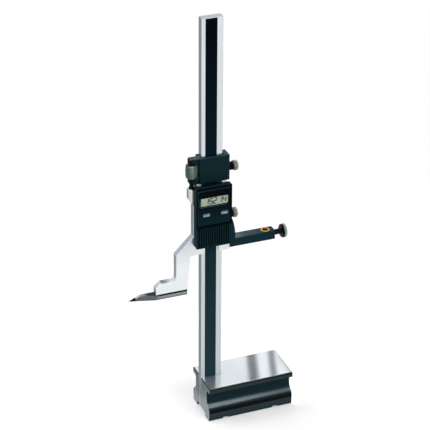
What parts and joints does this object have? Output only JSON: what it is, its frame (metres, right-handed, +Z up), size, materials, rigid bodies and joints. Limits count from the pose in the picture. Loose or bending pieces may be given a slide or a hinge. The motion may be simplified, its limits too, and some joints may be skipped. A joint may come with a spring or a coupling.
{
  "type": "digital height gauge",
  "caption": "Bench height gauge: flat column on a slotted base, slider with digital head, scriber and accessory bar, and a fine adjustment carriage above it.",
  "frame": {"origin": "on the plane of the sole, midway between the scriber's point and the base's free end in X, and midway between the base's front and back in Y", "axes": "+X along the base towards its free end, +Y to the back, +Z up the column"},
  "size_m": [0.1766, 0.0494, 0.4575],
  "materials": {
    "painted_iron": "gloss black paint, ground top and end faces",
    "ground_steel": "ground and satin chromed",
    "scale": "dark film over the scale circuit",
    "dark_steel": "black oxide fasteners",
    "plated_steel": "nickel plated, knurled",
    "black_enamel": "semi-gloss black enamel",
    "black_abs": "moulded black ABS",
    "face_film": "glossy black face plate",
    "clear_acrylic": "clear window",
    "lcd_glass": "reflective liquid crystal display",
    "board": "circuit board",
    "rubber": "conductive rubber",
    "cell_steel": "button cell can",
    "brass": "turned brass",
    "spring_bronze": "rolled bronze strip",
    "key_grey": "blue-grey key cap",
    "carbide": "cemented carbide",
    "tool_steel": "hardened and ground"
  },
  "bodies": {
    "stand": {"base_block": "painted_iron", "column": "ground_steel", "scale_strip": "board", "scale_film": "scale", "column_screws": "dark_steel", "column_dowels": "ground_steel"},
    "carriage": {"carriage_body": "black_enamel", "carriage_back": "black_enamel", "carriage_screws": "dark_steel", "carriage_leaf": "spring_bronze"},
    "adjusting_wheel": {"fine_wheel": "plated_steel"},
    "slider": {"slider_frame": "ground_steel", "guide_strip": "spring_bronze", "guide_screws": "dark_steel", "fine_rod": "dark_steel", "lock_nut": "dark_steel", "scriber": "tool_steel", "scriber_tip": "carbide", "scriber_screws": "dark_steel", "head_casing": "black_abs", "head_screws": "dark_steel", "face_plate": "face_film", "display_window": "clear_acrylic", "display_glass": "lcd_glass", "contact_strip": "rubber", "circuit_board": "board", "key_sheet": "rubber", "sensor_board": "board", "battery": "cell_steel", "battery_spring": "spring_bronze", "battery_cover": "black_abs", "accessory_bar": "black_enamel", "bar_pin": "dark_steel", "clamp_bush": "brass"},
    "slider_clamp": {"slider_thumb_screw": "plated_steel"},
    "slider_pressure_pad": {"slider_pad": "brass"},
    "carriage_clamp": {"carriage_thumb_screw": "plated_steel"},
    "carriage_pressure_pad": {"carriage_pad": "brass"},
    "bar_clamp": {"bar_thumb_screw": "plated_steel"},
    "power_key": {"power_button": "key_grey"},
    "zero_key": {"zero_button": "key_grey"}
  },
  "joints": [
    {"name": "carriage_slide", "type": "slide", "parent": "stand", "child": "carriage", "axis": [0, 0, 1], "range_m": [-0.1465, 0.1465]},
    {"name": "wheel_turn", "type": "hinge", "parent": "carriage", "child": "adjusting_wheel", "pos_m": [-0.01945, 0.00205, 0.2937], "axis": [0, 0, 1], "range_deg": [-722, 2882]},
    {"name": "fine_slide", "type": "slide", "parent": "carriage", "child": "slider", "axis": [0, 0, 1], "range_m": [-0.0056, 0.0014]},
    {"name": "slider_clamp_turn", "type": "hinge", "parent": "slider", "child": "slider_clamp", "pos_m": [0.025, 0.00475, 0.23614], "axis": [-1, 0, 0], "range_deg": [0, 135]},
    {"name": "slider_pad_press", "type": "slide", "parent": "slider", "child": "slider_pressure_pad", "axis": [-1, 0, 0], "range_m": [0, 0.000265]},
    {"name": "carriage_clamp_turn", "type": "hinge", "parent": "carriage", "child": "carriage_clamp", "pos_m": [0.025, 0.00475, 0.29084], "axis": [-1, 0, 0], "range_deg": [0, 135]},
    {"name": "carriage_pad_press", "type": "slide", "parent": "carriage", "child": "carriage_pressure_pad", "axis": [-1, 0, 0], "range_m": [0, 0.000265]},
    {"name": "bar_clamp_turn", "type": "hinge", "parent": "slider", "child": "bar_clamp", "pos_m": [0.076, 0.0036, 0.20409], "axis": [-1, 0, 0], "range_deg": [-360, 0]},
    {"name": "power_press", "type": "slide", "parent": "slider", "child": "power_key", "axis": [0, 1, 0], "range_m": [0, 0.00035], "stiffness_N_per_m": 800, "springref_m": -0.0005},
    {"name": "zero_press", "type": "slide", "parent": "slider", "child": "zero_key", "axis": [0, 1, 0], "range_m": [0, 0.00035], "stiffness_N_per_m": 800, "springref_m": -0.0005}
  ],
  "couplings": [
    {"joint": "wheel_turn", "follows": "fine_slide", "rad_per_m": -8976},
    {"joint": "slider_pad_press", "follows": "slider_clamp_turn", "m_per_rad": 0.00011141},
    {"joint": "carriage_pad_press", "follows": "carriage_clamp_turn", "m_per_rad": 0.00011141}
  ]
}
